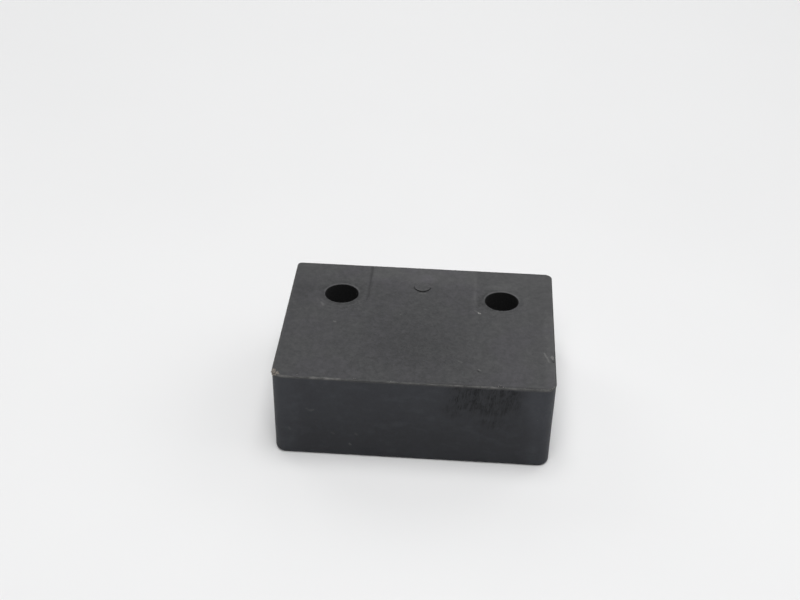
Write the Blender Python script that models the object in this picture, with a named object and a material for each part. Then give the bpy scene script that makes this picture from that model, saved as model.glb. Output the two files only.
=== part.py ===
"""A bolt-on rubber bumper block with a steel washer moulded into each bolt hole.

The block lies on its rounded outer face (z = 0) with its flat mounting face up.
X runs along the block, +Y points to the rear face that the bolts are close to,
and -Y is the face that takes the knocks. All sizes are in metres.
"""

import math

import bmesh
import bpy

# Block, measured at the mounting face
BLOCK_WIDTH = 0.098
BLOCK_DEPTH = 0.074
BLOCK_HEIGHT = 0.0335
END_DRAFT_DEG = 0.8  # the two ends lean in towards the outer face
FRONT_CORNER_RADIUS = 0.004  # the two upright corners of the impact face
REAR_CORNER_RADIUS = 0.0027
OUTER_EDGE_RADIUS = 0.0012  # the edge all round the outer face

# One M12 bolt near each rear corner
BOLT_TO_END = 0.019  # from each end face, at the mounting face
BOLT_TO_REAR = 0.020
BORE_RADIUS = 0.0062
COUNTERBORE_RADIUS = 0.010
COUNTERBORE_DEPTH = 0.014  # from the outer face up to the washer

# Moulded-in washers, plain M12 size
WASHER_RIM_HELD = 0.002  # width of the rim that the rubber covers
WASHER_THICKNESS = 0.0025
WASHER_HOLE_EXTRA = 0.0003  # how far the washer's hole stands back from the bore
WASHER_EDGE_CHAMFER = 0.0003

# Shallow U-shaped pad round each bolt hole, open at the rear face
PAD_MARGIN = 0.0038  # from the bore to the pad's edge
PAD_DEPTH = 0.0001

# Round moulding pip that stands up between the bolt holes
PIP_RADIUS = 0.0031
PIP_HEIGHT = 0.0005
PIP_BEHIND_BOLTS = 0.0067  # from the bolt line towards the rear

PIECE_GAP = 0.0003  # between the rubber and the steel that it holds
OVERRUN = 0.002  # how far a cutter runs past the face that it cuts

CORNER_STEPS = 8
EDGE_STEPS = 6
ROUND_STEPS = 64

BOLT_X = BLOCK_WIDTH / 2 - BOLT_TO_END
BOLT_Y = BLOCK_DEPTH / 2 - BOLT_TO_REAR
BOLT_PLACES = {"left": -BOLT_X, "right": BOLT_X}
PAD_RADIUS = BORE_RADIUS + PAD_MARGIN
WASHER_RADIUS = COUNTERBORE_RADIUS + WASHER_RIM_HELD
WASHER_TOP = COUNTERBORE_DEPTH + WASHER_THICKNESS


def clear_scene():
    for obj in list(bpy.data.objects):
        bpy.data.objects.remove(obj, do_unlink=True)


def material(name, colour, roughness, metallic):
    made = bpy.data.materials.new(name)
    made.use_nodes = True
    shader = made.node_tree.nodes["Principled BSDF"]
    shader.inputs["Base Color"].default_value = (*colour, 1.0)
    shader.inputs["Roughness"].default_value = roughness
    shader.inputs["Metallic"].default_value = metallic
    made.diffuse_color = (*colour, 1.0)
    return made


def object_from_rings(name, rings):
    """A closed solid through rings of equal count, listed from the bottom to the top."""
    bm = bmesh.new()
    loops = [[bm.verts.new(point) for point in ring] for ring in rings]
    for lower, upper in zip(loops, loops[1:]):
        count = len(lower)
        for i in range(count):
            j = (i + 1) % count
            bm.faces.new((lower[i], lower[j], upper[j], upper[i]))
    bm.faces.new(list(reversed(loops[0])))
    bm.faces.new(loops[-1])
    bmesh.ops.recalc_face_normals(bm, faces=bm.faces)
    mesh = bpy.data.meshes.new(name)
    bm.to_mesh(mesh)
    bm.free()
    obj = bpy.data.objects.new(name, mesh)
    bpy.context.scene.collection.objects.link(obj)
    return obj


def circle(radius, z):
    """Points anticlockwise round the Z axis."""
    angles = [2 * math.pi * i / ROUND_STEPS for i in range(ROUND_STEPS)]
    return [(radius * math.cos(a), radius * math.sin(a), z) for a in angles]


def rounded_rectangle(half_x, half_y, inset, z):
    """Points anticlockwise round a rectangle with rounded corners at height z."""
    points = []
    for quarter, (sign_x, sign_y) in enumerate(((1, 1), (-1, 1), (-1, -1), (1, -1))):
        radius = (REAR_CORNER_RADIUS if sign_y > 0 else FRONT_CORNER_RADIUS) - inset
        centre_x = sign_x * (half_x - radius)
        centre_y = sign_y * (half_y - radius)
        for step in range(CORNER_STEPS + 1):
            angle = math.pi / 2 * (quarter + step / CORNER_STEPS)
            x = centre_x + radius * math.cos(angle)
            y = centre_y + radius * math.sin(angle)
            points.append((x, y, z))
    return points


def block_ring(z, inset):
    """The block's outline at height z, pulled in by inset all round."""
    draft = (BLOCK_HEIGHT - z) * math.tan(math.radians(END_DRAFT_DEG))
    half_x = BLOCK_WIDTH / 2 - draft - inset
    half_y = BLOCK_DEPTH / 2 - inset
    return rounded_rectangle(half_x, half_y, inset, z)


def as_cutter(obj):
    obj.hide_render = True
    obj.display_type = "WIRE"
    return obj


def apply_boolean(target, other, operation):
    modifier = target.modifiers.new(other.name, "BOOLEAN")
    modifier.operation = operation
    modifier.solver = "EXACT"
    modifier.object = other


def bolt_hole_cutter(side, x):
    """Bore, washer pocket and counterbore in one turned shape."""
    pocket_radius = WASHER_RADIUS + PIECE_GAP
    pocket_floor = COUNTERBORE_DEPTH - PIECE_GAP
    pocket_roof = WASHER_TOP + PIECE_GAP
    cutter = object_from_rings(f"{side}_bolt_hole_cutter", [
        circle(COUNTERBORE_RADIUS, -OVERRUN),
        circle(COUNTERBORE_RADIUS, pocket_floor),
        circle(pocket_radius, pocket_floor),
        circle(pocket_radius, pocket_roof),
        circle(BORE_RADIUS, pocket_roof),
        circle(BORE_RADIUS, BLOCK_HEIGHT + OVERRUN),
    ])
    cutter.location = (x, BOLT_Y, 0)
    return as_cutter(cutter)


def pad_outline(z):
    """A U round the bolt, with its open end past the rear face."""
    steps = ROUND_STEPS // 2
    open_end = BOLT_TO_REAR + OVERRUN
    front = [math.pi + math.pi * i / steps for i in range(steps + 1)]
    points = [(PAD_RADIUS * math.cos(a), PAD_RADIUS * math.sin(a), z) for a in front]
    return points + [(PAD_RADIUS, open_end, z), (-PAD_RADIUS, open_end, z)]


def pad_cutter(side, x):
    floor = BLOCK_HEIGHT - PAD_DEPTH
    rings = [pad_outline(floor), pad_outline(BLOCK_HEIGHT + OVERRUN)]
    cutter = object_from_rings(f"{side}_pad_cutter", rings)
    cutter.location = (x, BOLT_Y, 0)
    return as_cutter(cutter)


def moulding_pip():
    root = BLOCK_HEIGHT - OVERRUN
    rings = [circle(PIP_RADIUS, root), circle(PIP_RADIUS, BLOCK_HEIGHT + PIP_HEIGHT)]
    pip = object_from_rings("moulding_pip", rings)
    pip.location = (0, BOLT_Y + PIP_BEHIND_BOLTS, 0)
    return as_cutter(pip)


def rubber_block(rubber):
    rings = []
    for step in range(EDGE_STEPS):
        angle = math.pi / 2 * (1 - step / EDGE_STEPS)
        z = OUTER_EDGE_RADIUS * (1 - math.sin(angle))
        rings.append(block_ring(z, OUTER_EDGE_RADIUS * (1 - math.cos(angle))))
    rings.append(block_ring(OUTER_EDGE_RADIUS, 0))
    rings.append(block_ring(BLOCK_HEIGHT, 0))
    block = object_from_rings("rubber_block", rings)
    apply_boolean(block, moulding_pip(), "UNION")
    for side, x in BOLT_PLACES.items():
        apply_boolean(block, pad_cutter(side, x), "DIFFERENCE")
        apply_boolean(block, bolt_hole_cutter(side, x), "DIFFERENCE")
    block.data.materials.append(rubber)
    return block


def washer(side, x, steel):
    """A flat ring with its outer corners broken, lying on the counterbore's floor."""
    rim = WASHER_RADIUS - WASHER_EDGE_CHAMFER
    hole = BORE_RADIUS + WASHER_HOLE_EXTRA
    ring = object_from_rings(f"{side}_washer", [
        circle(rim, COUNTERBORE_DEPTH),
        circle(WASHER_RADIUS, COUNTERBORE_DEPTH + WASHER_EDGE_CHAMFER),
        circle(WASHER_RADIUS, WASHER_TOP - WASHER_EDGE_CHAMFER),
        circle(rim, WASHER_TOP),
    ])
    punch = object_from_rings(f"{side}_washer_punch", [
        circle(hole, COUNTERBORE_DEPTH - OVERRUN),
        circle(hole, WASHER_TOP + OVERRUN),
    ])
    ring.location = (x, BOLT_Y, 0)
    punch.location = (x, BOLT_Y, 0)
    apply_boolean(ring, as_cutter(punch), "DIFFERENCE")
    ring.data.materials.append(steel)
    return ring


def main():
    clear_scene()
    rubber = material("moulded_rubber", (0.055, 0.057, 0.060), 0.62, 0.0)
    steel = material("zinc_plated_steel", (0.62, 0.62, 0.60), 0.38, 1.0)
    pieces = [rubber_block(rubber)]
    pieces += [washer(side, x, steel) for side, x in BOLT_PLACES.items()]
    for piece in pieces:
        piece.data.shade_smooth()
        piece.data.set_sharp_from_angle(angle=math.radians(30))


main()
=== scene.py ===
"""Looks of a bolt-on rubber bumper block: its worn moulding, washers, table, light and camera.

Everything is in metres, in the block's own frame: X along the block, +Y towards the rear face
that the bolts are close to, +Z towards the flat mounting face.
"""

import math

import bpy
import numpy as np
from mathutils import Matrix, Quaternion, Vector, noise


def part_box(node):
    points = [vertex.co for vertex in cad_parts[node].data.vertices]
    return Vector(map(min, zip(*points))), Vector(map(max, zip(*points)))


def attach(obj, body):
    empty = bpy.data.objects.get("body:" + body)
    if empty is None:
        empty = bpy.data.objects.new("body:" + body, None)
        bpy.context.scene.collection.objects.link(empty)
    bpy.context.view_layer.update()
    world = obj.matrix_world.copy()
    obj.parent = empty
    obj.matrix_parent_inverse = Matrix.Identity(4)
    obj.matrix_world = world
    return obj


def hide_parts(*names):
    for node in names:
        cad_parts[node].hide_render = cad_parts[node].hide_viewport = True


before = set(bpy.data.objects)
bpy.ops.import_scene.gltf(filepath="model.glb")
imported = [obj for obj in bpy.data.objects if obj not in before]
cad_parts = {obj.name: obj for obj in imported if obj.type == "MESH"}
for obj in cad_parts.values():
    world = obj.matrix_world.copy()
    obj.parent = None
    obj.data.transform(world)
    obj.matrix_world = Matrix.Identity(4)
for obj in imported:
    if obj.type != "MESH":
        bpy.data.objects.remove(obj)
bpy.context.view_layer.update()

MM = 0.001

# Sizes read from the frame, and the pip's height, which the block's box includes
BLOCK_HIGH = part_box("rubber_block")[1]
WASHER_LOW, WASHER_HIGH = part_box("right_washer")
PIP_HEIGHT = 0.5 * MM
HALF_WIDTH = BLOCK_HIGH.x
HALF_DEPTH = BLOCK_HIGH.y
FACE_Z = BLOCK_HIGH.z - PIP_HEIGHT
BOLT_X = (WASHER_LOW.x + WASHER_HIGH.x) / 2
BOLT_Y = (WASHER_LOW.y + WASHER_HIGH.y) / 2
WASHER_RADIUS = (WASHER_HIGH.x - WASHER_LOW.x) / 2
BOLT_PLACES = {"left": -BOLT_X, "right": BOLT_X}

# Sizes of the moulding that its box doesn't give
END_DRAFT = math.tan(math.radians(0.8))
FRONT_CORNER_RADIUS = 4 * MM
REAR_CORNER_RADIUS = 2.7 * MM
REAR_LEFT_RADIUS = 1.5 * MM
OUTER_EDGE_RADIUS = 1.2 * MM
ARRIS_RADIUS = 0.35 * MM
BORE_RADIUS = 6.2 * MM
BORE_MOUTH = 0.35 * MM
COUNTERBORE_RADIUS = 10 * MM
COUNTERBORE_LIP = 0.5 * MM
PIECE_GAP = 0.3 * MM
CUTTER_OVERLAP = 2 * MM
PAD_RADIUS = 10 * MM
PAD_DEPTH = 0.1 * MM
SINK = 0.03 * MM
BROAD_SWELL = 0.05 * MM
FINE_SWELL = 0.018 * MM
RING_RADIUS = 8.4 * MM
RING_WIDTH = 0.35 * MM
RING_DEPTH = 0.03 * MM
PIP_RADIUS = 3.1 * MM
PIP_EDGE = 0.16 * MM
PIP_WEAR = 0.8  # share of the pip's height worn off at its rear edge
PIP_Y = BOLT_Y + 6.7 * MM

# Sizes of the washers that their boxes don't give
WASHER_HOLE_RADIUS = BORE_RADIUS + 0.3 * MM
WASHER_ROLLED_EDGE = 0.45 * MM
WASHER_SHARP_EDGE = 0.12 * MM

# How finely the moulding is divided
GRID_STEP = 0.48 * MM
SIDE_STEP = 0.65 * MM
CORNER_STEPS = 10
ARRIS_STEPS = 4
OUTER_EDGE_STEPS = 8
ROUND_STEPS = 96
PIP_STEPS = 48
SMALL_EDGE_STEPS = 4
FLASH_STEP = 0.22 * MM


# ---------------------------------------------------------------- small helpers


def smooth_step(low, high, value):
    t = np.clip((value - low) / (high - low), 0.0, 1.0)
    return t * t * (3 - 2 * t)


def ripple(points, size, seed):
    """Smooth noise from -1 to 1, with lumps of about the given size."""
    shift = Vector((seed * 7.31, seed * 3.17, seed * 5.77))
    return np.array([noise.noise(Vector(p) / size + shift) for p in points])


def to_segment(px, py, start, end):
    """Distance from each point to a straight line between two ends."""
    (ax, ay), (bx, by) = start, end
    dx, dy = bx - ax, by - ay
    t = np.clip(((px - ax) * dx + (py - ay) * dy) / (dx * dx + dy * dy), 0, 1)
    return np.hypot(px - ax - t * dx, py - ay - t * dy)


def mesh_object(name, points, faces):
    """A new object in the scene, from points and faces."""
    mesh = bpy.data.meshes.new(name)
    mesh.from_pydata([tuple(p) for p in points], [], [tuple(f) for f in faces])
    mesh.update()
    obj = bpy.data.objects.new(name, mesh)
    bpy.context.scene.collection.objects.link(obj)
    return obj


def coordinates(mesh):
    """The places of a mesh's points, one row each."""
    flat = np.empty(len(mesh.vertices) * 3)
    mesh.vertices.foreach_get("co", flat)
    return flat.reshape(-1, 3)


def normals(mesh):
    """The outward directions at a mesh's points, one row each."""
    flat = np.empty(len(mesh.vertices) * 3)
    mesh.vertex_normals.foreach_get("vector", flat)
    return flat.reshape(-1, 3)


def revolved_band(low, high, steps):
    """Faces between two rings of points of a solid of revolution, given their first points."""
    return [(low + i, low + (i + 1) % steps, high + (i + 1) % steps, high + i) for i in range(steps)]


def skirt(above, below):
    """Faces that hang from one closed ring of points down to the next."""
    nexts = [(i + 1) % len(above) for i in range(len(above))]
    return [(above[i], below[i], below[j], above[j]) for i, j in enumerate(nexts)]


def turned(name, profile, steps=ROUND_STEPS):
    """A solid of revolution about Z through (radius, z) points, open ends closed flat."""
    angles = [2 * math.pi * i / steps for i in range(steps)]
    points = [(r * math.cos(a), r * math.sin(a), z) for r, z in profile for a in angles]
    faces = []
    for ring in range(len(profile) - 1):
        faces += revolved_band(ring * steps, (ring + 1) * steps, steps)
    faces.append(tuple(reversed(range(steps))))
    faces.append(tuple((len(profile) - 1) * steps + i for i in range(steps)))
    return mesh_object(name, points, faces)


def combine(target, other, operation):
    """Cuts or joins with an exact Boolean, applies it and removes the other object."""
    modifier = target.modifiers.new(operation, "BOOLEAN")
    modifier.operation = operation
    modifier.solver = "EXACT"
    modifier.object = other
    graph = bpy.context.evaluated_depsgraph_get()
    made = bpy.data.meshes.new_from_object(target.evaluated_get(graph))
    target.modifiers.clear()
    old = target.data
    target.data = made
    made.name = target.name
    bpy.data.meshes.remove(old)
    bpy.data.objects.remove(other, do_unlink=True)


def soften(obj, angle=30):
    """Shades smoothly, but keeps edges sharper than the angle, in degrees."""
    obj.data.shade_smooth()
    obj.data.set_sharp_from_angle(angle=math.radians(angle))


# ---------------------------------------------------------------- the moulding


def corner_radius(x, y):
    """Radius of the upright corner nearest to each point."""
    rear = np.where(x < 0, REAR_LEFT_RADIUS, REAR_CORNER_RADIUS)
    return np.where(y > 0, rear, FRONT_CORNER_RADIUS)


def stations(half, middle_steps):
    """Places along one side: even in the middle, closing up towards both edges."""
    middle = half - FRONT_CORNER_RADIUS
    t = np.linspace(0, 1, CORNER_STEPS + 1)[1:]
    corner = middle + FRONT_CORNER_RADIUS * (1 - (1 - t) ** 1.6)
    centre = np.linspace(-middle, middle, middle_steps + 1)
    return np.concatenate([-corner[::-1], centre, corner])


def rounded_sheet(half_x, half_y, inset, x_steps, y_steps):
    """A grid over a rectangle whose square corners are drawn in to quarter circles."""
    gx, gy = np.meshgrid(stations(half_x, x_steps), stations(half_y, y_steps), indexing="ij")
    radius = corner_radius(gx, gy) - inset
    sx = np.clip((np.abs(gx) - half_x + radius) / radius, 0, 1)
    sy = np.clip((np.abs(gy) - half_y + radius) / radius, 0, 1)
    round_x = half_x - radius + radius * sx * np.sqrt(1 - sy**2 / 2)
    round_y = half_y - radius + radius * sy * np.sqrt(1 - sx**2 / 2)
    gx = np.where(sx > 0, np.sign(gx) * round_x, gx)
    gy = np.where(sy > 0, np.sign(gy) * round_y, gy)
    return gx, gy


def rim_of(columns, rows):
    """Indices round the grid's rim, anticlockwise from its first corner."""
    def at(i, j):
        return i * rows + j

    rim = [at(i, 0) for i in range(columns)]
    rim += [at(columns - 1, j) for j in range(1, rows)]
    rim += [at(i, rows - 1) for i in range(columns - 2, -1, -1)]
    rim += [at(0, j) for j in range(rows - 2, 0, -1)]
    return rim


def side_levels():
    """(height, inset) of each ring, from just under the mounting face to the outer face."""
    levels = []
    for step in range(1, ARRIS_STEPS + 1):
        angle = math.pi / 2 * step / ARRIS_STEPS
        z = FACE_Z - ARRIS_RADIUS * (1 - math.cos(angle))
        levels.append((z, ARRIS_RADIUS * (1 - math.sin(angle))))
    top, bottom = FACE_Z - ARRIS_RADIUS, OUTER_EDGE_RADIUS
    count = round((top - bottom) / SIDE_STEP)
    levels += [(top + (bottom - top) * i / count, 0.0) for i in range(1, count)]
    for step in range(OUTER_EDGE_STEPS + 1):
        angle = math.pi / 2 * step / OUTER_EDGE_STEPS
        z = OUTER_EDGE_RADIUS * (1 - math.sin(angle))
        levels.append((z, OUTER_EDGE_RADIUS * (1 - math.cos(angle))))
    return levels


def block_surface():
    """The whole outer skin: a fine grid on top, rings down the sides, one flat face below."""
    x_steps = round(2 * (HALF_WIDTH - FRONT_CORNER_RADIUS) / GRID_STEP)
    y_steps = round(2 * (HALF_DEPTH - FRONT_CORNER_RADIUS) / GRID_STEP)

    def sheet(z, inset):
        half_x = HALF_WIDTH - inset - (FACE_Z - z) * END_DRAFT
        return rounded_sheet(half_x, HALF_DEPTH - inset, inset, x_steps, y_steps)

    gx, gy = sheet(FACE_Z, ARRIS_RADIUS)
    columns, rows = gx.shape
    points = [np.column_stack([gx.ravel(), gy.ravel(), np.full(gx.size, FACE_Z)])]
    faces = []
    for i in range(columns - 1):
        for j in range(rows - 1):
            a = i * rows + j
            faces.append((a, a + rows, a + rows + 1, a + 1))
    rim = rim_of(columns, rows)
    above = rim
    total = gx.size
    for z, inset in side_levels():
        gx, gy = sheet(z, inset)
        ring = np.column_stack([gx.ravel()[rim], gy.ravel()[rim], np.full(len(rim), z)])
        points.append(ring)
        below = [total + i for i in range(len(rim))]
        total += len(rim)
        faces += skirt(above, below)
        above = below
    faces.append(tuple(reversed(above)))
    return mesh_object("bumper_moulding", np.concatenate(points), faces)


def pad_distance(x, y):
    """Signed distance to the nearer U-shaped pad's outline, negative inside it."""
    across = np.abs(np.abs(x) - BOLT_X)
    behind = y - BOLT_Y
    return np.where(behind > 0, across, np.hypot(across, behind)) - PAD_RADIUS


def bolt_distance(x, y):
    """Distance to the nearer bolt hole's centre line."""
    return np.hypot(np.abs(x) - BOLT_X, y - BOLT_Y)


# Depth of the crease behind the parting flash, along the front edge: (x, depth) in mm
CREASE = ((3, 0.0), (6, 0.28), (14, 0.34), (20, 0.26), (27, 0.08), (34, 0.12), (40, 0.34), (46, 0.30))
CREASE_DEEPEST = 0.34 * MM
CREASE_FROM_EDGE = 0.95 * MM
CREASE_WIDTH = 0.34 * MM

# The cut on the right-hand edge of the mounting face: a line and the bite at its end
CUT_START = (45.3 * MM, -15.1 * MM)
CUT_END = (46.9 * MM, -20.0 * MM)
CUT_WIDTH = 0.35 * MM
CUT_DEPTH = 0.22 * MM
BITE = (48.5 * MM, -18.9 * MM)
BITE_WIDTH = 0.75 * MM
BITE_DEPTH = 0.5 * MM


def crease_depth(x, y):
    """How far the crease sinks the mounting face at each point."""
    places = np.array([p[0] for p in CREASE]) * MM
    depths = np.array([p[1] for p in CREASE]) * MM
    across = (y + HALF_DEPTH - CREASE_FROM_EDGE) / CREASE_WIDTH
    return np.interp(x, places, depths, left=0, right=0) * np.exp(-across**2)


def shape_moulding(obj):
    """Moves the skin's points for swell, pads, rings, crease, cut, bite and sink."""
    points = coordinates(obj.data)
    facing = normals(obj.data)
    x, y, z = points.T
    swell = BROAD_SWELL * ripple(points, 14 * MM, 1) + FINE_SWELL * ripple(points, 3.5 * MM, 2)
    upper = smooth_step(FACE_Z - 1.0 * MM, FACE_Z - 0.2 * MM, z)
    lift = np.zeros(len(points))
    lift -= PAD_DEPTH * smooth_step(0.25 * MM, -0.25 * MM, pad_distance(x, y))
    ring = (bolt_distance(x, y) - RING_RADIUS) / RING_WIDTH
    lift -= RING_DEPTH * np.exp(-ring**2)
    lift -= crease_depth(x, y)
    cut = to_segment(x, y, CUT_START, CUT_END) / CUT_WIDTH
    lift -= CUT_DEPTH * np.exp(-cut**2)
    bite = np.hypot(x - BITE[0], y - BITE[1]) / BITE_WIDTH
    lift -= BITE_DEPTH * np.exp(-bite**2)
    sunk = np.clip(1 - (x / HALF_WIDTH) ** 2, 0, 1) * np.clip(1 - (y / HALF_DEPTH) ** 2, 0, 1)
    lift -= SINK * sunk
    moved = points + facing * swell[:, None] * smooth_step(0.0, 1.0 * MM, z)[:, None]
    moved[:, 2] += lift * upper
    obj.data.vertices.foreach_set("co", moved.ravel())
    obj.data.update()


def bolt_hole(x):
    """Counterbore, washer pocket and bore with a softened mouth, as one turned cutter."""
    floor = WASHER_LOW.z - PIECE_GAP
    roof = WASHER_HIGH.z + PIECE_GAP
    pocket = WASHER_RADIUS + PIECE_GAP
    mouth_z = FACE_Z - PAD_DEPTH
    profile = [
        (COUNTERBORE_RADIUS + COUNTERBORE_LIP + CUTTER_OVERLAP, -CUTTER_OVERLAP),
        (COUNTERBORE_RADIUS + COUNTERBORE_LIP, 0),
        (COUNTERBORE_RADIUS + 0.3 * COUNTERBORE_LIP, 0.35 * COUNTERBORE_LIP),
        (COUNTERBORE_RADIUS, COUNTERBORE_LIP),
        (COUNTERBORE_RADIUS, floor),
        (pocket, floor),
        (pocket, roof),
        (BORE_RADIUS, roof),
        (BORE_RADIUS, mouth_z - BORE_MOUTH),
    ]
    for step in range(1, SMALL_EDGE_STEPS + 1):
        angle = math.pi / 2 * step / SMALL_EDGE_STEPS
        radius = BORE_RADIUS + BORE_MOUTH * (1 - math.cos(angle))
        profile.append((radius, mouth_z - BORE_MOUTH * (1 - math.sin(angle))))
    profile.append((BORE_RADIUS + BORE_MOUTH + CUTTER_OVERLAP, mouth_z + CUTTER_OVERLAP))
    cutter = turned("bolt_hole", profile)
    cutter.location = (x, BOLT_Y, 0)
    return cutter


def moulding_pip():
    """The low round pip between the bolt holes, worn away towards the rear."""
    sunk_face = FACE_Z - SINK
    top = FACE_Z + PIP_HEIGHT
    profile = [
        (PIP_RADIUS + 0.05 * MM, sunk_face - 1 * MM),
        (PIP_RADIUS, sunk_face),
        (PIP_RADIUS, top - PIP_EDGE),
        (PIP_RADIUS - 0.3 * PIP_EDGE, top - 0.3 * PIP_EDGE),
        (PIP_RADIUS - PIP_EDGE, top - 0.04 * PIP_EDGE),
        (0.5 * PIP_RADIUS, top),
    ]
    pip = turned("moulding_pip", profile, PIP_STEPS)
    points = coordinates(pip.data)
    worn = smooth_step(-0.9, 1.0, points[:, 1] / PIP_RADIUS) * PIP_WEAR * (points[:, 2] - sunk_face)
    points[:, 2] -= np.clip(worn, 0, None)
    pip.data.vertices.foreach_set("co", points.ravel())
    pip.location = (0, PIP_Y, 0)
    return pip


def store(mesh, name, values):
    """Keeps one value per point as an attribute that the materials read."""
    layer = mesh.attributes.new(name, "FLOAT", "POINT")
    layer.data.foreach_set("value", values.astype(np.float32))


def edge_distance(x, y):
    """Distance in from the mounting face's outline, right round its corners."""
    radius = corner_radius(x, y)
    over_x = np.clip(np.abs(x) - HALF_WIDTH + radius, 0, None)
    over_y = np.clip(np.abs(y) - HALF_DEPTH + radius, 0, None)
    straight = np.minimum(HALF_WIDTH - np.abs(x), HALF_DEPTH - np.abs(y))
    return np.minimum(straight, radius - np.hypot(over_x, over_y))


def glow(x, y, centre, spread):
    """A soft round patch, 1 at its centre."""
    across, along = (x / MM - centre[0]) / spread[0], (y / MM - centre[1]) / spread[1]
    return np.exp(-(across**2) - along**2)


# Soft patches on the mounting face: strength, speckle's strength, centre and spread in mm.
# Pale patches are positive and dark ones negative.
PATCHES = (
    (-0.15, 0, (-3, -14), (17, 18)),
    (-0.14, 0, (-44.5, 18), (3.5, 6)),
    (0.25, 0, (0, 30), (5, 3)),
    (0.34, 0, (30, 26.5), (5, 2)),
    (-0.20, -0.70, (21.8, 16), (2, 5)),
    # Painted highlight along the step on the right pad's inner side
    (0.22, 0, (20, 18), (0.9, 9)),
    (0.07, 0, (-37, 11), (2.5, 3)),
    (0.16, 0.3, (39, 15), (2, 5)),
)
PAD_LINE_WIDTH = 0.50 * MM
# Painted shade on the front half of the pip's wall, which faces forward
PIP_FRONT_WALL_SHADE = -0.25


def haze_and_light_on_top(x, y, drift, speckle):
    """Where the mounting face is dusty, with painted highlights on the bore and pip rims and on a pad
    step, from -1 for clean and dark to 1 for pale.
    """
    between_holes = smooth_step(22, 18, np.abs(x / MM))
    haze_light_and_shade = 0.28 * between_holes * smooth_step(19, 32, y / MM + 5 * drift)
    haze_light_and_shade += 0.15 * smooth_step(20, 34, y / MM)
    haze_light_and_shade += 0.16 * smooth_step(12, 40, x / MM)
    haze_light_and_shade += 0.22 * smooth_step(44.5, 46.5, x / MM + 0.6 * drift) * smooth_step(26, -2, y / MM)
    for strength, speckled, centre, spread in PATCHES:
        haze_light_and_shade += (strength + speckled * speckle) * glow(x, y, centre, spread)
    from_bore = (bolt_distance(x, y) - BORE_RADIUS) / MM
    haze_light_and_shade -= (0.13 + 0.25 * speckle) * smooth_step(2.6, 1.6, from_bore)
    # Painted highlights: a thin pale line along the far rim of each bore mouth, and rim wear with a
    # painted highlight along the pip's front rim
    far_rim_highlight = np.exp(-(((from_bore - 0.4) / 0.3) ** 2)) * smooth_step(-2, 3, (y - BOLT_Y) / MM)
    from_pip = (np.hypot(x, y - PIP_Y) - PIP_RADIUS) / MM
    pip_rim_wear_and_highlight = np.exp(-(((from_pip + 0.3) / 0.3) ** 2)) * smooth_step(-0.5, -2, (y - PIP_Y) / MM)
    return haze_light_and_shade + 0.8 * far_rim_highlight + 0.4 * pip_rim_wear_and_highlight


def pad_step_light_and_shade(x, y):
    """Painted shade and painted highlights along the steps of the pads' outlines, and pale ring grooves,
    from dark below 0 to pale above it.
    """
    line = np.exp(-((pad_distance(x, y) / PAD_LINE_WIDTH) ** 2))
    from_left = smooth_step(-22, -18.5, x / MM)
    left_step_shade = (x < 0) * from_left * smooth_step(6, 14, y / MM)
    left_step_highlight = (x < 0) * smooth_step(-26, -34, x / MM) * smooth_step(24, 10, y / MM)
    right_step_highlight = (x > 0) * smooth_step(32, 21, x / MM)
    ring = np.exp(-(((bolt_distance(x, y) - RING_RADIUS) / RING_WIDTH) ** 2))
    ring *= smooth_step(BOLT_Y / MM + 2, BOLT_Y / MM - 5, y / MM)
    right_step_highlight *= smooth_step(8, 18, y / MM)
    return line * (0.06 * left_step_highlight + 0.14 * right_step_highlight - 1.4 * left_step_shade) + 0.08 * ring


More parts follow.
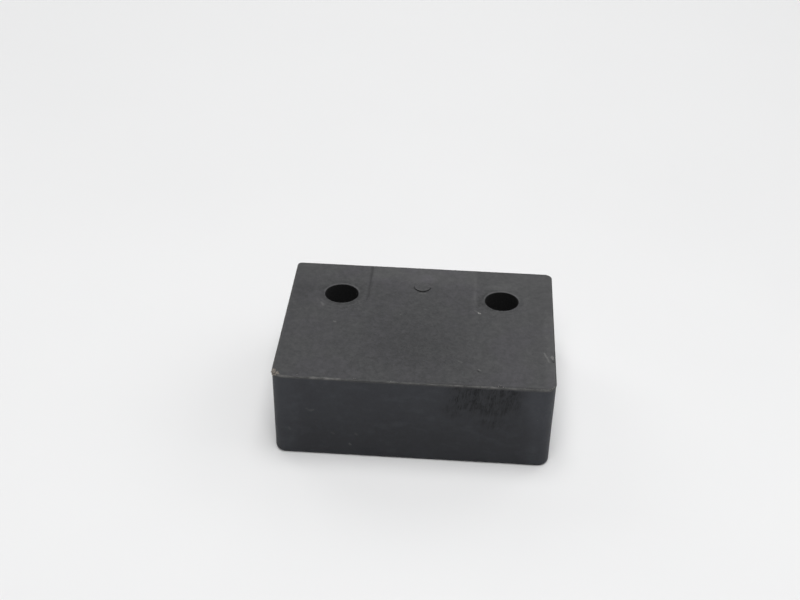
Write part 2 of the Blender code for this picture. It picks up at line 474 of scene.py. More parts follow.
def paint_masks(obj):
    """Stores where the rubber is hazed or painted with highlights and shade, where the pad steps carry
    painted light and shade, where edges are worn and painted with highlights, painted shade in the
    crease, where it is scuffed, painted shade and tone down the sides, and where it is in a bore.
    """
    mesh = obj.data
    points = coordinates(mesh)
    x, y, z = points.T
    depth = FACE_Z - z
    in_bore = smooth_step(0.12 * MM, 0.32 * MM, depth)
    in_bore *= bolt_distance(x, y) < BORE_RADIUS + BORE_MOUTH
    on_top = smooth_step(0.6 * MM, 0.3 * MM, depth) * (1 - in_bore)
    on_front = smooth_step(-HALF_DEPTH + 0.5 * MM, -HALF_DEPTH + 0.25 * MM, y)
    drift = ripple(points, 9 * MM, 3)

    speckle = ripple(points, 1.3 * MM, 12)
    haze_light_and_shade = np.clip(haze_and_light_on_top(x, y, drift, speckle), -1, 1)
    # Painted shade on the front half of the pip's wall
    from_pip = np.hypot(x, y - PIP_Y) - PIP_RADIUS
    pip_wall = (from_pip > -0.08 * MM) & (from_pip < 0.12 * MM) & (y < PIP_Y)
    pip_wall &= z < FACE_Z + PIP_HEIGHT - 0.1 * MM
    haze_light_and_shade = np.where(pip_wall, PIP_FRONT_WALL_SHADE, haze_light_and_shade)
    store(mesh, "in_bore", in_bore)
    store(mesh, "haze_light_and_shade", haze_light_and_shade * on_top)
    store(mesh, "top_face", on_top)
    store(mesh, "painted_pad_step_light", pad_step_light_and_shade(x, y) * on_top)

    edge = edge_distance(x, y)
    # Edge wear and a painted highlight along the rounded top edges
    arris = smooth_step(0.75 * MM, 0.1 * MM, edge) * smooth_step(1.0 * MM, 0.2 * MM, depth)
    store(mesh, "arris", arris)
    # Painted shade in the crease behind the parting flash
    store(mesh, "crease", np.clip(crease_depth(x, y) / CREASE_DEEPEST, 0, 1) * on_top)

    # Painted shade darkens the sides towards the bottom; they are also lighter towards and on both ends,
    # most at the upper right, with random tone
    pale = 0.63 - 0.54 * smooth_step(2, 30, depth / MM)
    pale += 0.40 * smooth_step(-36, -48, x / MM) + 0.45 * smooth_step(38, 44, x / MM + drift)
    pale += 0.35 * smooth_step(38, 44, x / MM) * smooth_step(18, 6, depth / MM)
    store(mesh, "side_shade_and_tone", np.clip(pale + 0.12 * drift, 0, 1.4))

    u, v = x / MM + 2.2 * ripple(points, 6 * MM, 4), depth / MM + 1.6 * ripple(points, 4 * MM, 5)
    scuff = smooth_step(9.5, 15, u) * smooth_step(40, 33, u) * smooth_step(16, 8, v)
    scuff = np.maximum(scuff, 0.8 * glow(u * MM, v * MM, (28.5, 15.5), (5, 2.5)))
    store(mesh, "scuff", scuff * on_front)


def bumper_moulding(rubber):
    """The rubber block itself, with its pip, pads and bolt holes."""
    block = block_surface()
    shape_moulding(block)
    combine(block, moulding_pip(), "UNION")
    for x in BOLT_PLACES.values():
        combine(block, bolt_hole(x), "DIFFERENCE")
    paint_masks(block)
    soften(block)
    block.data.materials.clear()
    block.data.materials.append(rubber)
    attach(block, "root")
    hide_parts("rubber_block")
    return block


# ---------------------------------------------------------------- the parting flash

# The flash along the front edge: (x, height, how pale its torn surface and its painted highlight are), x
# and height in mm
FRONT_FLASH = (
    (-47, 0.42, 0.9), (-44, 0.38, 0.9), (-40, 0.22, 0.5), (-37, 0.26, 0.6), (-34, 0.38, 1.0),
    (-30, 0.36, 1.0), (-26, 0.34, 0.9), (-23, 0.22, 0.5), (-17, 0.12, 0.2), (-10, 0.13, 0.25),
    (-7.7, 0.32, 0.8), (-5, 0.16, 0.3), (-1, 0.24, 0.7), (1, 0.26, 0.8), (3, 0.16, 0.4),
    (6, 0.26, 0.7), (9, 0.20, 0.4), (15, 0.28, 0.6), (19, 0.18, 0.4), (23, 0.32, 0.7),
    (27, 0.34, 0.9), (30, 0.22, 0.5), (35, 0.26, 0.7), (40, 0.30, 0.6), (47, 0.40, 0.8),
)
TRIMMED_FLASH = 0.10  # height in mm left on the other three edges
TRIMMED_PALENESS = 0.45


def outline_walk(step):
    """Points and outward directions round the mounting face's outline."""
    pieces = []
    for sign_x, sign_y, begin in ((1, -1, -90), (1, 1, 0), (-1, 1, 90), (-1, -1, 180)):
        radius = float(corner_radius(sign_x, sign_y))
        count = math.ceil(math.pi / 2 * radius / step)
        for i in range(count + 1):
            angle = math.radians(begin + 90 * i / count)
            out = (math.cos(angle), math.sin(angle))
            x = sign_x * (HALF_WIDTH - radius) + radius * out[0]
            y = sign_y * (HALF_DEPTH - radius) + radius * out[1]
            pieces.append((x, y, *out))
    walk = []
    for here, there in zip(pieces, pieces[1:] + pieces[:1]):
        gap = math.hypot(there[0] - here[0], there[1] - here[1])
        count = max(1, round(gap / step))
        for i in range(count):
            t = i / count
            walk.append([a + (b - a) * t for a, b in zip(here, there)])
    return np.array(walk)


def parting_flash(rubber):
    """The ragged lip that trimming leaves where the two mould halves met."""
    walk = outline_walk(FLASH_STEP)
    x, y, out_x, out_y = walk.T
    spots = np.column_stack([x, y, np.zeros(len(x))])
    places, heights, paleness = np.array(FRONT_FLASH).T
    front = smooth_step(0.3, 0.95, -out_y)
    other = TRIMMED_FLASH + 0.05 * ripple(spots, 6 * MM, 6)
    height = other + (np.interp(x / MM, places, heights) - other) * front
    pale = TRIMMED_PALENESS + (np.interp(x / MM, places, paleness) - TRIMMED_PALENESS) * front
    torn = 0.30 * ripple(spots, 1.1 * MM, 7) + 0.22 * ripple(spots, 0.45 * MM, 8)
    height = np.clip(height * (1 + torn), 0.04, 0.55) * MM
    width = height * (1.25 + 0.5 * ripple(spots, 2.5 * MM, 9))
    # (share of the width in from the edge, fixed step in, share of the height, fixed drop)
    section = (
        (1.0, 0.25, 0.0, 0.25),
        (1.0, 0.10, 0.0, -0.01),
        (0.75, 0.0, 0.8, 0.0),
        (0.60, 0.0, 1.0, 0.0),
        (0.25, 0.0, 0.55, 0.0),
        (0.0, -0.10, 0.1, 0.04),
        (0.0, -0.12, 0.0, 0.14),
        (0.0, 0.02, 0.0, 0.40),
    )
    points = []
    for share, step_in, rise, drop in section:
        inward = share * width + step_in * MM
        z = FACE_Z + rise * height - drop * MM
        points.append(np.column_stack([x - out_x * inward, y - out_y * inward, z]))
    count, sides = len(x), len(section)
    rings = [range(k * count, (k + 1) * count) for k in range(sides)]
    faces = []
    for above, below in zip(rings, rings[1:] + rings[:1]):
        faces += skirt(above, below)
    lip = mesh_object("parting_flash", np.concatenate(points), faces)
    store(lip.data, "pale", np.tile(pale, sides))
    soften(lip, 60)
    lip.data.materials.append(rubber)
    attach(lip, "root")
    return lip


# Crumbs of torn rubber and lint: (x, y, height above the mounting face, radius) in mm
CRUMBS = (
    (-19.8, -36.5, 0.28, 0.17), (-19.3, -36.9, 0.10, 0.13), (-20.4, -36.1, 0.16, 0.12),
    (29.9, -36.0, 0.26, 0.22), (30.8, -36.6, 0.15, 0.17), (29.2, -36.4, 0.20, 0.14),
    (31.7, -36.9, 0.12, 0.15), (-7.6, -36.9, 0.30, 0.12), (-40.0, -35.4, 0.00, 0.16),
    (47.6, -35.9, 0.10, 0.26), (48.2, -34.9, 0.05, 0.22), (46.8, -36.3, 0.10, 0.20),
    (21.9, 8.1, 0.00, 0.15), (48.3, -17.6, -0.02, 0.22),
)
# The tuft of torn flash at the front left corner, in the same way
TUFT = (
    (-48.2, -34.9, 0.08, 0.82), (-48.1, -33.9, 0.05, 0.56), (-48.3, -35.1, -0.55, 0.56),
    (-46.9, -35.5, 0.12, 0.66), (-47.4, -36.0, -0.10, 0.45), (-48.7, -33.2, 0.0, 0.30),
    (-46.0, -36.3, 0.05, 0.26), (-48.4, -35.2, -1.00, 0.24),
)
CRUMB_SEED, CRUMB_STEPS = 1.5, 8
TUFT_SEED, TUFT_STEPS = 20.5, 10


def lump(centre, radius, seed, steps):
    """A small uneven ball as points and faces."""
    points, faces = [], []
    for i in range(steps + 1):
        polar = math.pi * i / steps
        for j in range(steps):
            turn = 2 * math.pi * j / steps
            way = Vector((
                math.sin(polar) * math.cos(turn),
                math.sin(polar) * math.sin(turn),
                math.cos(polar),
            ))
            size = radius * (1 + 0.5 * noise.noise(way * 1.7 + Vector((seed, 0, seed * 2.1))))
            points.append(Vector(centre) + way * size)
    rings = [range(i * steps, (i + 1) * steps) for i in range(steps + 1)]
    for above, below in zip(rings, rings[1:]):
        faces += skirt(above, below)
    return points, faces


def lumps_at(name, places, first_seed, steps):
    """One object of uneven lumps, each at its own place and with its own seed."""
    points, faces = [], []
    for number, (x, y, above, radius) in enumerate(places):
        centre = (x * MM, y * MM, FACE_Z + above * MM)
        more_points, more_faces = lump(centre, radius * MM, number + first_seed, steps)
        start = len(points)
        points += more_points
        faces += [tuple(start + i for i in face) for face in more_faces]
    obj = mesh_object(name, points, faces)
    weld = obj.modifiers.new("close_poles", "WELD")
    weld.merge_threshold = 0.005 * MM
    graph = bpy.context.evaluated_depsgraph_get()
    made = bpy.data.meshes.new_from_object(obj.evaluated_get(graph))
    obj.modifiers.clear()
    obj.data = made
    soften(obj, 60)
    return obj


def torn_crumbs(material):
    """Crumbs of rubber and lint along the flash and on the mounting face."""
    crumbs = lumps_at("torn_crumbs", CRUMBS, CRUMB_SEED, CRUMB_STEPS)
    crumbs.data.materials.append(material)
    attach(crumbs, "root")


def torn_corner(material):
    """The tuft of torn flash at the front left corner."""
    tuft = lumps_at("torn_corner", TUFT, TUFT_SEED, TUFT_STEPS)
    tuft.data.materials.append(material)
    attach(tuft, "root")


# ---------------------------------------------------------------- washers


def washer(side, x, steel):
    """A stamped washer: rolled upper edge, sharper lower edge, slightly flared hole."""
    low, high = WASHER_LOW.z, WASHER_HIGH.z
    hole, rolled, sharp = WASHER_HOLE_RADIUS, WASHER_ROLLED_EDGE, WASHER_SHARP_EDGE
    outer = [(WASHER_RADIUS - rolled, low)]
    for step in range(1, SMALL_EDGE_STEPS + 1):
        angle = math.pi / 2 * step / SMALL_EDGE_STEPS
        radius = WASHER_RADIUS - rolled * (1 - math.sin(angle))
        outer.append((radius, low + rolled * (1 - math.cos(angle))))
    outer += [(WASHER_RADIUS, high - sharp), (WASHER_RADIUS - sharp, high)]
    inner = [(hole + sharp, high), (hole, high - sharp), (hole, low + rolled)]
    inner += [(hole + 0.3 * rolled, low + 0.3 * rolled), (hole + rolled, low)]
    section = outer + inner
    angles = [2 * math.pi * i / ROUND_STEPS for i in range(ROUND_STEPS)]
    points = [(x + r * math.cos(a), BOLT_Y + r * math.sin(a), z) for r, z in section for a in angles]
    faces = []
    for k in range(len(section)):
        here, there = k * ROUND_STEPS, (k + 1) % len(section) * ROUND_STEPS
        faces += revolved_band(here, there, ROUND_STEPS)
    ring = mesh_object(f"{side}_steel_washer", points, faces)
    soften(ring)
    ring.data.materials.append(steel)
    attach(ring, "root")
    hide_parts(f"{side}_washer")


# ---------------------------------------------------------------- shader groups


class Graph:
    """Adds nodes to one tree and links them, to keep each effect short."""

    def __init__(self, tree):
        self.tree = tree

    def node(self, kind, settings=None, **sockets):
        made = self.tree.nodes.new(kind)
        for key, value in (settings or {}).items():
            setattr(made, key, value)
        for name, value in sockets.items():
            self.feed(made.inputs[name.replace("_", " ")], value)
        return made

    def feed(self, socket, value):
        if isinstance(value, bpy.types.NodeSocket):
            self.tree.links.new(value, socket)
        else:
            socket.default_value = value

    def math(self, operation, *values, clamp=False):
        made = self.tree.nodes.new("ShaderNodeMath")
        made.operation = operation
        made.use_clamp = clamp
        for socket, value in zip(made.inputs, values):
            self.feed(socket, value)
        return made.outputs[0]

    def vector(self, operation, *values):
        made = self.node("ShaderNodeVectorMath", {"operation": operation})
        for socket, value in zip(made.inputs, values):
            self.feed(socket, value)
        return made.outputs

    def shaken(self, place, amount):
        """The same place moved about by fine noise, so that a straight line drawn at it is ragged."""
        rough = self.node("ShaderNodeTexNoise", Vector=place, Scale=1500.0, Detail=2.0)
        shake = self.vector("SUBTRACT", rough.outputs["Color"], (0.5, 0.5, 0.5))["Vector"]
        shake = self.vector("MULTIPLY", shake, (amount, amount, amount))["Vector"]
        return self.vector("ADD", place, shake)["Vector"]

    def remap(self, value, low, high, to_low=0.0, to_high=1.0):
        made = self.tree.nodes.new("ShaderNodeMapRange")
        made.interpolation_type = "SMOOTHSTEP"
        for socket, item in zip(made.inputs, (value, low, high, to_low, to_high)):
            self.feed(socket, item)
        return made.outputs[0]

    def mix(self, factor, first, second):
        made = self.tree.nodes.new("ShaderNodeMix")
        made.data_type = "RGBA"
        self.feed(made.inputs["Factor"], factor)
        self.feed(made.inputs["A"], first)
        self.feed(made.inputs["B"], second)
        return made.outputs["Result"]

    def noise(self, vector, scale, detail=2.0, roughness=0.5):
        made = self.node("ShaderNodeTexNoise", Vector=vector, Scale=scale, Detail=detail)
        made.inputs["Roughness"].default_value = roughness
        return made.outputs["Fac"]

    def stretched(self, vector, scale, turn=(0, 0, 0)):
        made = self.node("ShaderNodeMapping", Vector=vector)
        made.inputs["Scale"].default_value = scale
        made.inputs["Rotation"].default_value = turn
        return made.outputs["Vector"]

    def attribute(self, name):
        made = self.tree.nodes.new("ShaderNodeAttribute")
        made.attribute_name = name
        return made.outputs["Fac"]


def new_group(name, inputs, outputs):
    """An empty node group with float sockets, and its Graph, input and output sockets."""
    tree = bpy.data.node_groups.new(name, "ShaderNodeTree")
    for label, value in inputs.items():
        kind = "NodeSocketVector" if value is None else "NodeSocketFloat"
        socket = tree.interface.new_socket(label, in_out="INPUT", socket_type=kind)
        if value is not None:
            socket.default_value = value
    for label in outputs:
        tree.interface.new_socket(label, in_out="OUTPUT", socket_type="NodeSocketFloat")
    graph = Graph(tree)
    entry = tree.nodes.new("NodeGroupInput").outputs
    leave = tree.nodes.new("NodeGroupOutput").inputs
    return graph, entry, leave


def grain_group():
    """Fine pebbling of a blasted mould, with coarser mottling under it."""
    graph, entry, leave = new_group(
        "rubber_grain", {"Vector": None, "Fine Size": 0.3, "Coarse Size": 2.2}, ("Height", "Mottle")
    )
    fine_scale = graph.math("DIVIDE", 1000.0, entry["Fine Size"])
    coarse_scale = graph.math("DIVIDE", 1000.0, entry["Coarse Size"])
    fine = graph.noise(entry["Vector"], fine_scale, 3.0, 0.6)
    coarse = graph.noise(entry["Vector"], coarse_scale, 4.0, 0.55)
    height = graph.math("ADD", graph.math("MULTIPLY", fine, 0.45), graph.math("MULTIPLY", coarse, 0.55))
    graph.feed(leave["Height"], height)
    graph.feed(leave["Mottle"], graph.remap(coarse, 0.32, 0.68))
    return graph.tree


def speck_group():
    """Sparse pale specks of dust: a few of the cells hold one."""
    graph, entry, leave = new_group(
        "dust_specks", {"Vector": None, "Spacing": 2.0, "Share": 0.2, "Size": 0.12}, ("Mask",)
    )
    scale = graph.math("DIVIDE", 1000.0, entry["Spacing"])
    cells = graph.node("ShaderNodeTexVoronoi", Vector=entry["Vector"], Scale=scale)
    chosen = graph.node("ShaderNodeSeparateColor", Color=cells.outputs["Color"])
    gate = graph.math("LESS_THAN", chosen.outputs["Red"], entry["Share"])
    size = graph.math("MULTIPLY", entry["Size"], chosen.outputs["Green"])
    near = graph.remap(cells.outputs["Distance"], size, graph.math("MULTIPLY", size, 0.4))
    graph.feed(leave["Mask"], graph.math("MULTIPLY", gate, near, clamp=True))
    return graph.tree


def streak_group():
    """Fibrous streaks that run up and down the face, leaning a little."""
    graph, entry, leave = new_group("scuff_streaks", {"Vector": None, "Amount": 1.0}, ("Mask", "Height"))
    leaning = graph.stretched(entry["Vector"], (1.0, 1.0, 1.0), (0, math.radians(-7), 0))
    leaning = graph.stretched(leaning, (1.0, 1.0, 0.2))
    wide = graph.noise(leaning, 800.0, 3.0, 0.6)
    thin = graph.noise(leaning, 2300.0, 2.0, 0.6)
    blotch = graph.noise(entry["Vector"], 300.0, 3.0, 0.6)
    both = graph.math("ADD", graph.math("MULTIPLY", wide, 0.5), graph.math("MULTIPLY", thin, 0.5))
    torn = graph.remap(both, 0.38, 0.62)
    patch = graph.remap(blotch, 0.26, 0.60)
    amount = graph.math("MULTIPLY", patch, entry["Amount"], clamp=True)
    graph.feed(leave["Mask"], graph.math("MULTIPLY", torn, amount, clamp=True))
    graph.feed(leave["Height"], graph.math("MULTIPLY", both, amount))
    return graph.tree


def wear_and_highlight_group():
    """Breaks an even edge mask up into rubbed stretches, which also carry a painted highlight, and
    unrubbed stretches.
    """
    graph, entry, leave = new_group("edge_wear_and_highlight", {"Vector": None, "Edge": 0.0, "Amount": 0.5}, ("Mask",))
    broken = graph.noise(entry["Vector"], 420.0, 4.0, 0.65)
    long = graph.noise(entry["Vector"], 75.0, 2.0, 0.5)
    level = graph.math("ADD", graph.math("MULTIPLY", broken, 0.6), graph.math("MULTIPLY", long, 0.4))
    gate = graph.remap(level, graph.math("SUBTRACT", 0.95, entry["Amount"]), 0.95)
    graph.feed(leave["Mask"], graph.math("MULTIPLY", gate, entry["Edge"], clamp=True))
    return graph.tree


def scratch_group():
    """A short ragged line between two points on the surface."""
    graph, entry, leave = new_group(
        "scratch_line", {"Vector": None, "Start": None, "End": None, "Width": 0.2 * MM}, ("Mask",)
    )
    along = graph.vector("SUBTRACT", entry["End"], entry["Start"])["Vector"]
    gone = graph.vector("SUBTRACT", entry["Vector"], entry["Start"])["Vector"]
    length = graph.vector("DOT_PRODUCT", along, along)["Value"]
    covered = graph.vector("DOT_PRODUCT", gone, along)["Value"]
    share = graph.math("DIVIDE", covered, length, clamp=True)
    reach = graph.node("ShaderNodeVectorMath", {"operation": "SCALE"}, Vector=along, Scale=share)
    apart = graph.vector("DISTANCE", gone, reach.outputs["Vector"])["Value"]
    near = graph.remap(apart, entry["Width"], graph.math("MULTIPLY", entry["Width"], 0.3))
    graph.feed(leave["Mask"], near)
    return graph.tree


def new_material(name):
    made = bpy.data.materials.new(name)
    made.use_nodes = True
    graph = Graph(made.node_tree)
    shader = made.node_tree.nodes["Principled BSDF"]
    place = made.node_tree.nodes.new("ShaderNodeTexCoord").outputs["Object"]
    return made, graph, shader, place


def add_group(graph, tree, **sockets):
    made = graph.tree.nodes.new("ShaderNodeGroup")
    made.node_tree = tree
    for name, value in sockets.items():
        graph.feed(made.inputs[name.replace("_", " ")], value)
    return made.outputs


def bump(graph, height, distance, strength=1.0):
    made = graph.node("ShaderNodeBump", Height=height)
    made.inputs["Strength"].default_value = strength
    made.inputs["Distance"].default_value = distance
    return made.outputs["Normal"]


RUBBER_TOP = (0.0291, 0.0298, 0.0314, 1)
HAZE_AND_HIGHLIGHT_GREY = (0.090, 0.090, 0.091, 1)
HAZE_AND_HIGHLIGHT_VIOLET = (0.091, 0.087, 0.096, 1)
SIDE_DARK_AND_SHADED = (0.0115, 0.0125, 0.0165, 1)
SIDE_PALE = (0.0350, 0.0380, 0.0460, 1)
NEARLY_BLACK = (0.0030, 0.0030, 0.0032, 1)
EDGE_WORN_AND_LIT = (0.150, 0.147, 0.142, 1)
TORN_RUBBER_AND_HIGHLIGHT = (0.140, 0.138, 0.133, 1)
DUST = (0.42, 0.41, 0.39, 1)
PALE_CRUMB = ((0.11, 0.107, 0.103, 1), (0.27, 0.264, 0.25, 1))
TAN_CRUMB = ((0.115, 0.100, 0.086, 1), (0.285, 0.256, 0.226, 1))
ZINC_GREY = (0.56, 0.57, 0.58, 1)
ZINC_WARM = (0.66, 0.65, 0.61, 1)
ZINC_RUBBED = (0.40, 0.39, 0.37, 1)
TABLE_DULL = (0.800, 0.800, 0.802, 1)
TABLE_BRIGHT = (0.830, 0.830, 0.832, 1)
TABLE_PAINTED_SHADE = (0.775, 0.775, 0.777, 1)
TABLE_PAINTED_LIGHT = (0.872, 0.872, 0.874, 1)
RUBBER_SPECULAR = 0.42
MARK_RAGGEDNESS = 0.9 * MM


def on_top(x, y):
    """A place on the mounting face, from millimetres."""
    return (x * MM, y * MM, FACE_Z)


def on_front(x, below):
    """A place on the front face, from millimetres across and below the mounting face."""
    return (x * MM, -HALF_DEPTH, FACE_Z - below * MM)


# Pale marks: both ends, width in mm, strength
MARKS = (
    (on_top(21.6, 8.2), on_top(22.1, 8.0), 0.45, 0.60),
    (on_top(20.3, 9.6), on_top(21.6, 8.4), 0.60, 0.06),
    (on_top(-36.9, 10.2), on_top(-36.0, 8.2), 0.60, 0.08),
    (on_top(-30.9, -1.9), on_top(-30.5, -2.2), 0.60, 0.12),
    (on_top(45.2, -15.1), on_top(46.1, -17.4), 0.45, 0.15),
    (on_top(46.1, -17.4), on_top(46.8, -20.0), 0.55, 0.11),
    (on_top(47.9, -17.0), on_top(48.1, -18.2), 0.70, 0.20),
    (on_top(22.2, -26.9), on_top(22.9, -27.5), 0.45, 0.11),
    (on_top(15.2, -22.5), on_top(16.3, -23.1), 0.55, 0.08),
    (on_top(-1.0, 19.6), on_top(1.3, 19.4), 0.50, 0.09),
    (on_top(1.2, 25.4), on_top(2.6, 24.6), 1.40, 0.025),
    (on_front(-36.9, 13.4), on_front(-35.6, 14.2), 0.55, 0.035),
    (on_front(-35.6, 14.2), on_front(-34.4, 13.8), 0.55, 0.050),
    (on_front(-21.8, 28.1), on_front(-21.5, 28.5), 0.50, 0.080),
    (on_front(-28.1, 23.4), on_front(-27.3, 23.9), 0.60, 0.030),
    (on_front(-19.7, 23.2), on_front(-19.3, 23.9), 0.60, 0.030),
    (on_front(-43.2, 22.0), on_front(-43.0, 22.9), 0.55, 0.030),
)
# Small dark pits: both ends, width in mm, strength
PITS = (
    (on_top(21.4, 19.2), on_top(21.6, 19.0), 0.42, 0.32),
    (on_top(22.4, 17.6), on_top(22.6, 17.5), 0.45, 0.38),
    (on_top(21.5, 16.2), on_top(21.8, 15.8), 0.40, 0.30),
    (on_top(22.7, 14.3), on_top(22.9, 14.0), 0.45, 0.38),
    (on_top(21.4, 13.1), on_top(21.7, 13.0), 0.40, 0.28),
    (on_top(-36.4, 20.6), on_top(-36.2, 20.4), 0.40, 0.25),
    (on_top(-23.8, 12.0), on_top(-23.5, 11.8), 0.45, 0.28),
    (on_top(22.0, -27.8), on_top(22.6, -28.2), 0.50, 0.6),
    (on_top(47.9, -18.9), on_top(48.4, -20.2), 0.50, 0.8),
    (on_top(-14.2, -9.0), on_top(-13.8, -9.2), 0.40, 0.4),
)


def scratches(graph, tree, place, marks):
    """The strongest of several scratch lines at each point."""
    total = 0.0
    for start, end, width, strength in marks:
        line = add_group(graph, tree, Vector=place, Start=start, End=end, Width=width * MM)
        total = graph.math("MAXIMUM", total, graph.math("MULTIPLY", line["Mask"], strength))
    return total


def rubber_material(groups):
    """Black rubber: dusty on the mounting face with painted highlights and shade, scuffed in front with
    painted shade towards the bottom, and painted shade that makes the bores nearly black.
    """
    made, graph, shader, place = new_material("worn_black_rubber")
    grain = add_group(graph, groups["grain"], Vector=place, Fine_Size=0.35, Coarse_Size=1.0)
    streaks = add_group(graph, groups["streaks"], Vector=place, Amount=graph.attribute("scuff"))
    wear_and_highlight = add_group(graph, groups["wear_and_highlight"], Vector=place, Edge=graph.attribute("arris"), Amount=0.62)
    specks = add_group(graph, groups["specks"], Vector=place, Spacing=2.4, Share=0.12, Size=0.10)
    ragged = graph.shaken(place, MARK_RAGGEDNESS)
    marks = scratches(graph, groups["scratch"], ragged, MARKS)
    pits = scratches(graph, groups["scratch"], ragged, PITS)

    haze_light_and_shade = graph.attribute("haze_light_and_shade")
    cloud = graph.remap(graph.noise(place, 380.0, 5.0, 0.7), 0.34, 0.70)
    blotches = graph.math("ADD", cloud, grain["Mottle"])
    tint = graph.remap(graph.noise(place, 55.0, 2.0, 0.6), 0.40, 0.62)
    # Painted shade and painted highlights along the pad steps, and pale ring lines
    lines = graph.attribute("painted_pad_step_light")
    broken = graph.remap(graph.noise(place, 700.0, 3.0, 0.6), 0.3, 0.6, 0.35, 1.0)
    pad_step_highlight = graph.math("MULTIPLY", graph.math("MULTIPLY", lines, broken), 0.32, clamp=True)
    pad_step_shade = graph.math("MULTIPLY", lines, -0.5, clamp=True)
    # Dust and painted highlights lighten the top; clean spots and painted shade on the pip's front wall
    # and the pad steps darken it
    veil_and_highlight = graph.math("ADD", graph.math("MULTIPLY", haze_light_and_shade, 0.75), graph.math("MULTIPLY", blotches, 0.20))
    pebbles = graph.math("MULTIPLY", graph.math("SUBTRACT", grain["Height"], 0.5), 0.55)
    veil_and_highlight = graph.math("ADD", graph.math("ADD", veil_and_highlight, pebbles), 0.05, clamp=True)
    clean = graph.math("MULTIPLY", haze_light_and_shade, -0.8, clamp=True)
    top = graph.mix(veil_and_highlight, RUBBER_TOP, graph.mix(tint, HAZE_AND_HIGHLIGHT_GREY, HAZE_AND_HIGHLIGHT_VIOLET))
    top = graph.mix(graph.math("MAXIMUM", clean, pad_step_shade), top, NEARLY_BLACK)
    top = graph.mix(pad_step_highlight, top, DUST)

    blotch = graph.math("MULTIPLY", graph.math("SUBTRACT", blotches, 1.0), 0.22)
    blotch = graph.math("ADD", blotch, graph.math("MULTIPLY", pebbles, 0.8))
    smudge = graph.noise(graph.stretched(place, (1.0, 1.0, 2.2)), 110.0, 4.0, 0.6)
    blotch = graph.math("ADD", blotch, graph.remap(smudge, 0.50, 0.72, -0.04, 0.24))
    # Painted shade down the sides, with random blotches
    tone = graph.math("ADD", graph.attribute("side_shade_and_tone"), blotch, clamp=True)
    side = graph.mix(tone, SIDE_DARK_AND_SHADED, SIDE_PALE)
    shadow = graph.math("MULTIPLY", graph.attribute("scuff"), 0.34)
    side = graph.mix(shadow, side, NEARLY_BLACK)
    side = graph.mix(graph.math("MULTIPLY", streaks["Mask"], 0.62), side, NEARLY_BLACK)

    colour = graph.mix(graph.attribute("top_face"), side, top)
    # Painted shade in the crease
    colour = graph.mix(graph.attribute("crease"), colour, NEARLY_BLACK)
    # Edge wear and painted highlight along the top edges
    colour = graph.mix(graph.math("MULTIPLY", wear_and_highlight["Mask"], 0.7), colour, EDGE_WORN_AND_LIT)
    colour = graph.mix(marks, colour, DUST)
    colour = graph.mix(pits, colour, NEARLY_BLACK)
    colour = graph.mix(graph.math("MULTIPLY", specks["Mask"], 0.16), colour, DUST)
    # Painted shade that makes the bore walls nearly black
    colour = graph.mix(graph.attribute("in_bore"), colour, NEARLY_BLACK)
    graph.feed(shader.inputs["Base Color"], colour)

    rough = graph.math("ADD", 0.54, graph.math("MULTIPLY", grain["Mottle"], 0.08))
    rough = graph.math("ADD", rough, graph.math("MULTIPLY", veil_and_highlight, 0.14))
    rough = graph.math("ADD", rough, graph.math("MULTIPLY", streaks["Mask"], 0.25))
    rough = graph.math("ADD", rough, graph.math("MULTIPLY", graph.attribute("in_bore"), 0.3), clamp=True)
    graph.feed(shader.inputs["Roughness"], rough)
    shader.inputs["Specular IOR Level"].default_value = RUBBER_SPECULAR
    height = graph.math("ADD", grain["Height"], graph.math("MULTIPLY", streaks["Height"], 1.2))
    height = graph.math("SUBTRACT", height, graph.math("MULTIPLY", pits, 2.0))
    graph.feed(shader.inputs["Normal"], bump(graph, height, 0.06 * MM, 0.6))
    return made


def flash_material(groups):
    """Trimmed rubber: paler than the skin, because the knife tore it, and lightened further by a painted
    highlight along the flash.
    """
    made, graph, shader, place = new_material("trimmed_rubber")
    grain = add_group(graph, groups["grain"], Vector=place, Fine_Size=0.25, Coarse_Size=1.2)
    patches = graph.remap(graph.noise(place, 330.0, 4.0, 0.65), 0.30, 0.62, 0.35, 1.0)
    amount = graph.math("MULTIPLY", patches, graph.attribute("pale"), clamp=True)
    # Torn paleness and painted highlight along the flash
    colour = graph.mix(amount, RUBBER_TOP, TORN_RUBBER_AND_HIGHLIGHT)
    graph.feed(shader.inputs["Base Color"], colour)
    rough = graph.math("ADD", 0.6, graph.math("MULTIPLY", grain["Mottle"], 0.15))
    graph.feed(shader.inputs["Roughness"], rough)
    shader.inputs["Specular IOR Level"].default_value = RUBBER_SPECULAR
    graph.feed(shader.inputs["Normal"], bump(graph, grain["Height"], 0.05 * MM, 0.6))
    return made


def crumb_material(groups, name, first, second):
    """Mottled torn rubber or lint between two colours."""
    made, graph, shader, place = new_material(name)
    grain = add_group(graph, groups["grain"], Vector=place, Fine_Size=0.12, Coarse_Size=0.5)
    graph.feed(shader.inputs["Base Color"], graph.mix(grain["Mottle"], first, second))
    rough = graph.math("ADD", 0.6, graph.math("MULTIPLY", grain["Mottle"], 0.2))
    graph.feed(shader.inputs["Roughness"], rough)
    graph.feed(shader.inputs["Normal"], bump(graph, grain["Height"], 0.04 * MM, 0.6))
    return made


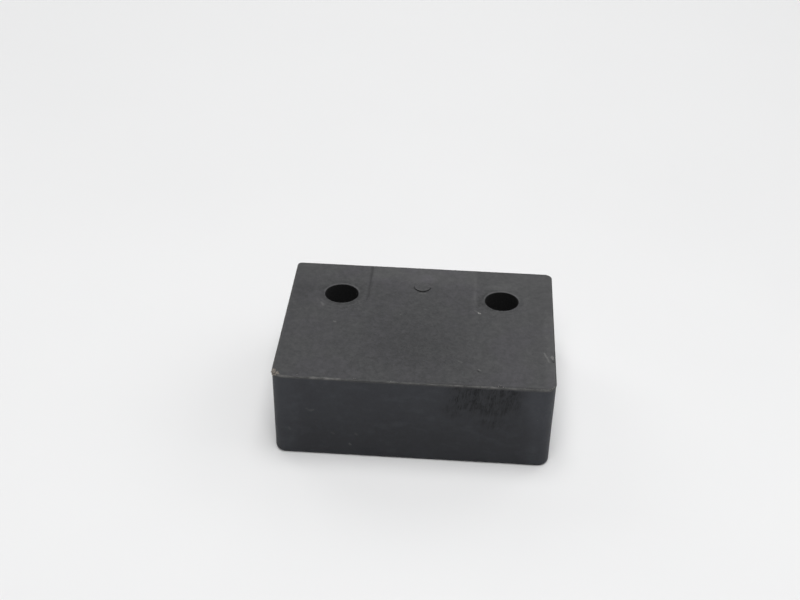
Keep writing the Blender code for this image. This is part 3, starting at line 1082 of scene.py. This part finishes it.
def steel_material(groups):
    """Dull zinc plating with fine rub marks and warmer patches."""
    made, graph, shader, place = new_material("zinc_plated_steel_finish")
    grain = add_group(graph, groups["grain"], Vector=place, Fine_Size=0.15, Coarse_Size=3.0)
    rubbed = graph.noise(graph.stretched(place, (1.0, 9.0, 1.0), (0, 0, 0.5)), 500.0, 3.0, 0.6)
    colour = graph.mix(grain["Mottle"], ZINC_GREY, ZINC_WARM)
    colour = graph.mix(graph.remap(rubbed, 0.55, 0.8, 0.0, 0.35), colour, ZINC_RUBBED)
    graph.feed(shader.inputs["Base Color"], colour)
    rough = graph.math("ADD", 0.30, graph.math("MULTIPLY", rubbed, 0.25))
    graph.feed(shader.inputs["Roughness"], rough)
    shader.inputs["Metallic"].default_value = 1.0
    graph.feed(shader.inputs["Normal"], bump(graph, grain["Height"], 0.02 * MM, 0.5))
    return made


def table_material():
    """Pale and nearly matt, with a little painted shade in front of the block and painted light far
    behind it.
    """
    made, graph, shader, place = new_material("pale_table")
    cloud = graph.noise(place, 9.0, 3.0, 0.5)
    behind = graph.node("ShaderNodeSeparateXYZ", Vector=place).outputs["Y"]
    colour = graph.mix(cloud, TABLE_DULL, TABLE_BRIGHT)
    # Painted shade in front of the block and painted light far behind it
    colour = graph.mix(graph.remap(behind, -0.06, -0.20), colour, TABLE_PAINTED_SHADE)
    colour = graph.mix(graph.remap(behind, 0.12, 0.60), colour, TABLE_PAINTED_LIGHT)
    graph.feed(shader.inputs["Base Color"], colour)
    shader.inputs["Roughness"].default_value = 0.6
    shader.inputs["Specular IOR Level"].default_value = 0.25
    return made


# ---------------------------------------------------------------- table, light and camera

TABLE_SIZE = 6.0
SOFTBOX_SIZE = 0.9
SOFTBOX_DISTANCE = 1.5
# Name, azimuth and elevation in degrees, power in watts
SOFTBOXES = (
    ("overhead_softbox", 0, 90, 12.0),
    ("front_softbox", 0, 60, 8.76),
    ("right_softbox", 90, 25, 1.0),
    ("rear_right_softbox", 135, 30, 2.2),
    ("rear_softbox", 180, 30, 1.68),
    ("rear_left_softbox", 225, 30, 3.04),
)
GLOW_FROM = (0.7071, 0.0, 0.7071)
GLOW_SHARPNESS = 4.0
GLOW_STRENGTH = 0.573
GLOW_COLOUR = (0.98, 0.99, 1.0, 1)
CAMERA_LENS = 60.4
CAMERA_SENSOR = 36
CAMERA_AIM = Vector((-9.44 * MM, 40.69 * MM, FACE_Z - 17.5 * MM))
CAMERA_DISTANCE = 532.9 * MM
CAMERA_AZIMUTH = 3.30
CAMERA_ELEVATION = 33.43
CAMERA_ROLL = 1.13


def direction(azimuth, elevation):
    """From the object towards a viewer or a lamp. Azimuth 0 is in front of it, at -Y."""
    a, e = math.radians(azimuth), math.radians(elevation)
    return Vector((math.sin(a) * math.cos(e), -math.cos(a) * math.cos(e), math.sin(e)))


def add_table():
    """A plain table top at the height of the block's outer face."""
    half = TABLE_SIZE / 2
    corners = [(-half, -half, 0), (half, -half, 0), (half, half, 0), (-half, half, 0)]
    table = mesh_object("table_top", corners, [(0, 1, 2, 3)])
    table.data.materials.append(table_material())


def add_softbox(name, azimuth, elevation, power):
    """A round softbox that faces the block."""
    lamp = bpy.data.lights.new(name, "AREA")
    lamp.shape = "DISK"
    lamp.size = SOFTBOX_SIZE
    lamp.energy = power
    obj = bpy.data.objects.new(name, lamp)
    towards = direction(azimuth, elevation)
    obj.location = towards * SOFTBOX_DISTANCE
    obj.rotation_mode = "QUATERNION"
    obj.rotation_quaternion = towards.to_track_quat("Z", "Y")
    bpy.context.scene.collection.objects.link(obj)


def add_surround():
    """A dark studio whose upper right side glows softly."""
    world = bpy.data.worlds.new("studio_surround")
    world.use_nodes = True
    graph = Graph(world.node_tree)
    way = world.node_tree.nodes.new("ShaderNodeTexCoord").outputs["Generated"]
    facing = graph.node("ShaderNodeVectorMath", {"operation": "DOT_PRODUCT"})
    graph.feed(facing.inputs[0], way)
    graph.feed(facing.inputs[1], GLOW_FROM)
    glow = graph.math("POWER", graph.math("MAXIMUM", facing.outputs["Value"], 0.0), GLOW_SHARPNESS)
    background = world.node_tree.nodes["Background"]
    background.inputs["Color"].default_value = GLOW_COLOUR
    graph.feed(background.inputs["Strength"], graph.math("MULTIPLY", glow, GLOW_STRENGTH))
    bpy.context.scene.world = world


def add_lights():
    """Two broad softboxes overhead and four weaker ones low beside and behind the block."""
    for name, azimuth, elevation, power in SOFTBOXES:
        add_softbox(name, azimuth, elevation, power)
    add_surround()


def add_camera():
    """Looks down at the block from in front and slightly to its right, with a slight roll."""
    lens = bpy.data.cameras.new("camera")
    lens.lens = CAMERA_LENS
    lens.sensor_width = CAMERA_SENSOR
    lens.clip_start = 0.01
    camera = bpy.data.objects.new("camera", lens)
    back = direction(CAMERA_AZIMUTH, CAMERA_ELEVATION)
    camera.location = CAMERA_AIM + back * CAMERA_DISTANCE
    level = (-back).to_track_quat("-Z", "Y")
    roll = Quaternion((0, 0, 1), math.radians(CAMERA_ROLL))
    camera.rotation_mode = "QUATERNION"
    camera.rotation_quaternion = level @ roll
    bpy.context.scene.collection.objects.link(camera)
    bpy.context.scene.camera = camera


def main():
    add_camera()
    add_lights()
    add_table()
    groups = {
        "grain": grain_group(),
        "specks": speck_group(),
        "streaks": streak_group(),
        "wear_and_highlight": wear_and_highlight_group(),
        "scratch": scratch_group(),
    }
    rubber = rubber_material(groups)
    trimmed = flash_material(groups)
    pale = crumb_material(groups, "pale_crumb", *PALE_CRUMB)
    tan = crumb_material(groups, "tan_crumb", *TAN_CRUMB)
    steel = steel_material(groups)
    bumper_moulding(rubber)
    parting_flash(trimmed)
    torn_crumbs(pale)
    torn_corner(tan)
    for side, x in BOLT_PLACES.items():
        washer(side, x, steel)
    bpy.context.scene.view_settings.view_transform = "Standard"


main()
